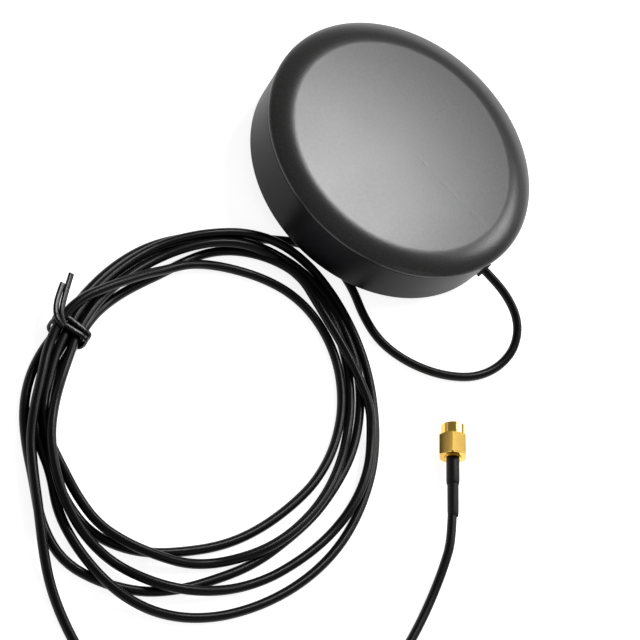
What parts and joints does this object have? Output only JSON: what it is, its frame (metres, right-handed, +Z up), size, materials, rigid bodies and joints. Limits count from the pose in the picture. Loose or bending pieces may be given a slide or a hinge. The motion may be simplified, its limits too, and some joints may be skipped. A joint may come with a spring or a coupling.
{
  "type": "puck antenna",
  "caption": "Low round magnetic-mount puck antenna with a thin coaxial lead, tied in a loose coil, ending in a gold screw-on plug.",
  "frame": {"origin": "centre of the housing on the surface that it stands on", "axes": "+Z up along the housing's axis, +X the way the lead leaves the side wall"},
  "size_m": [0.1557, 0.2399, 0.0239],
  "materials": {
    "cover_plastic": "finely spark-textured black plastic",
    "shell_plastic": "smooth satin black plastic",
    "black_rubber": "matt",
    "board_laminate": "green solder mask",
    "copper_foil": "bright copper",
    "solder": "bright",
    "screw_steel": "zinc-plated",
    "magnet_ferrite": "ground ferrite",
    "jacket_black": "satin black jacket",
    "braid_copper": "tinned braid",
    "white_insulator": "waxy white",
    "plug_gold": "gold-plated, polished",
    "spring_bronze": "bright",
    "seal_red": "silicone rubber",
    "sleeve_black": "heat-shrunk, matt",
    "tie_black": "ribbed satin plastic"
  },
  "bodies": {
    "root": {"radome_cover": "cover_plastic", "base_housing": "shell_plastic", "cover_seal": "black_rubber", "housing_screws": "screw_steel", "magnet_plate": "screw_steel", "mounting_magnet": "magnet_ferrite", "foot_pad": "black_rubber", "antenna_board": "board_laminate", "radiator_foil": "copper_foil", "board_screws": "screw_steel", "solder_joints": "solder", "cable_grommet": "black_rubber", "cable_clamp": "shell_plastic", "clamp_screws": "screw_steel", "inner_lead": "jacket_black", "lead_braid": "braid_copper", "lead_dielectric": "white_insulator", "lead_conductor": "copper_foil", "lead_loop": "jacket_black", "lead_coil": "jacket_black", "lead_tail": "jacket_black", "coil_tie": "tie_black", "connector_body": "plug_gold", "retaining_ring": "spring_bronze", "nut_seal": "seal_red", "contact_insulator": "white_insulator", "contact_pin": "plug_gold", "plug_dielectric": "white_insulator", "plug_braid": "braid_copper", "crimp_ferrule": "plug_gold", "shrink_sleeve_outer": "sleeve_black", "shrink_sleeve_inner": "sleeve_black"},
    "nut": {"coupling_nut": "plug_gold"}
  },
  "joints": [
    {"name": "nut_spin", "type": "hinge", "parent": "root", "child": "nut", "pos_m": [0.0728, -0.0488, 0.004], "axis": [-0.6143, 0.7891, 0], "continuous": true}
  ]
}
